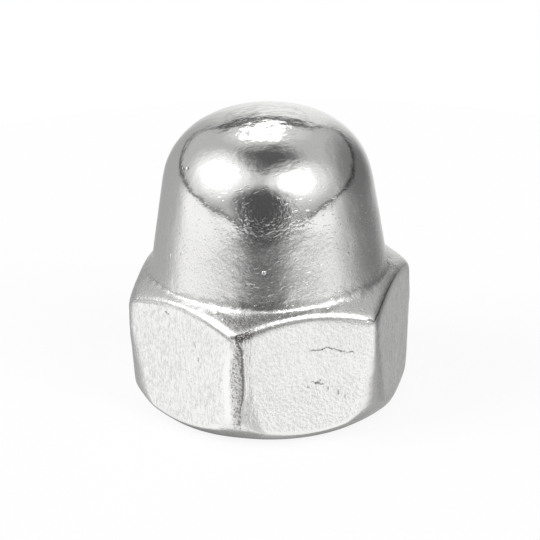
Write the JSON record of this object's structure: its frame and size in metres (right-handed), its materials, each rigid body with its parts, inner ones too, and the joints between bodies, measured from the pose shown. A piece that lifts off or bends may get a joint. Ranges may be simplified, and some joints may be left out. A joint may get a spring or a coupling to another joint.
{
  "type": "cap nut",
  "caption": "Domed hexagon cap nut: a wrench hexagon with a bevelled shoulder and a closed dome over a blind threaded hole.",
  "frame": {"origin": "centre of the bearing face, on the thread's axis", "axes": "+Z along the thread's axis from the bearing face to the dome; two flats face +Y and -Y; two corners point along +X and -X"},
  "size_m": [0.0114, 0.01, 0.0118],
  "materials": {
    "stainless_steel": "bare cold-formed stainless steel, bright on the dome and satin with fine pits on the flats"
  },
  "bodies": {
    "root": {"cap_nut": "stainless_steel"}
  },
  "joints": []
}
